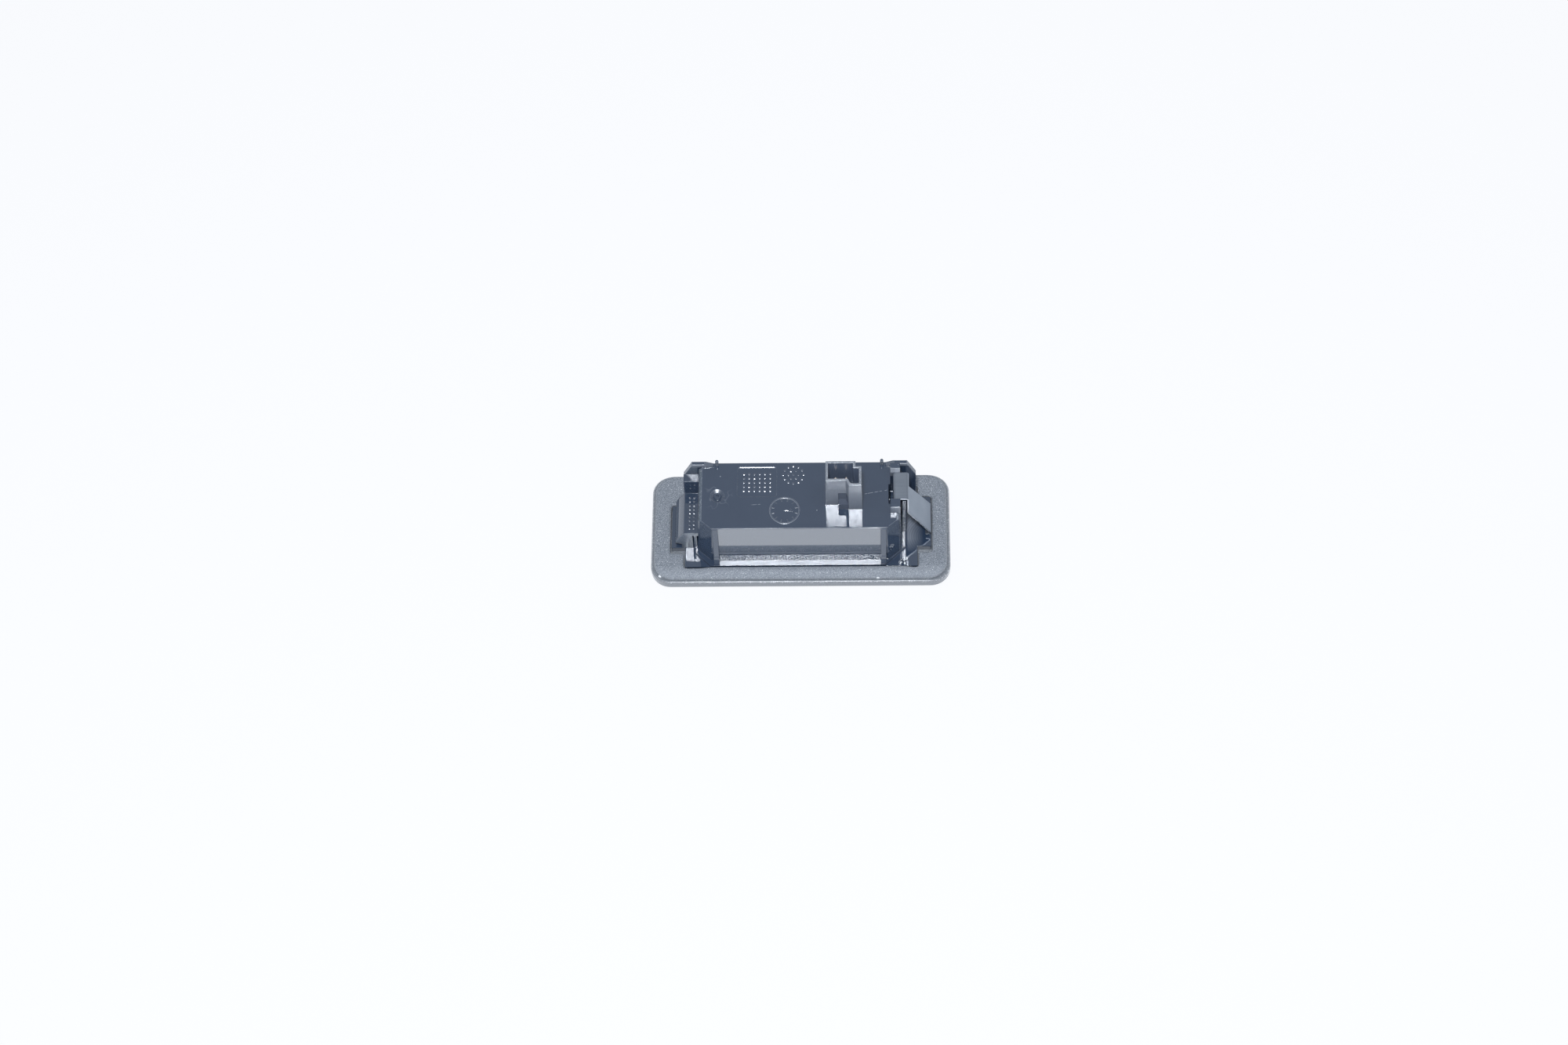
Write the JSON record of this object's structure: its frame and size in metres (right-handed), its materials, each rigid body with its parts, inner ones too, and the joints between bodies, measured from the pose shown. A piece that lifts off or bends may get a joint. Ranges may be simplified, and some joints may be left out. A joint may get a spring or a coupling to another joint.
{
  "type": "number plate lamp",
  "caption": "Rectangular snap-in number plate lamp: black bezel with clear lens, foam gasket, box housing with fixed hook, steel spring clip and upright connector socket.",
  "frame": {"origin": "centre of the front face of the bezel, which is the face that it lies on", "axes": "+Z from the lens to the connector, +X along the length from the fixed hook to the spring clip, +Y across"},
  "size_m": [0.072, 0.0298, 0.0304],
  "materials": {
    "bezel_black": "fine textured black",
    "lens_clear": "clear, polished",
    "housing_black": "polished black with textured walls",
    "gasket_foam": "grey closed-cell foam with pale specks",
    "clip_steel": "grey spring steel, satin",
    "pin_plated": "copper alloy with pale plated tip",
    "board_green": "green solder mask",
    "led_white": "white moulded package",
    "led_phosphor": "yellow phosphor gel",
    "resistor_black": "black glaze with tinned ends",
    "capacitor_tan": "tan ceramic with tinned ends",
    "diode_black": "black moulded case",
    "solder": "bright solder"
  },
  "bodies": {
    "root": {"bezel": "bezel_black", "capacitor": "capacitor_tan", "circuit_board": "board_green", "diode": "diode_black", "gasket": "gasket_foam", "housing": "housing_black", "led_package_1": "led_white", "led_package_2": "led_white", "led_package_3": "led_white", "led_phosphor_1": "led_phosphor", "led_phosphor_2": "led_phosphor", "led_phosphor_3": "led_phosphor", "lens": "lens_clear", "resistor_1": "resistor_black", "resistor_2": "resistor_black", "resistor_3": "resistor_black", "resistor_4": "resistor_black", "solder_joint_1": "solder", "solder_joint_2": "solder", "spring_clip": "clip_steel", "terminal_pin_1": "pin_plated", "terminal_pin_2": "pin_plated"}
  },
  "joints": []
}
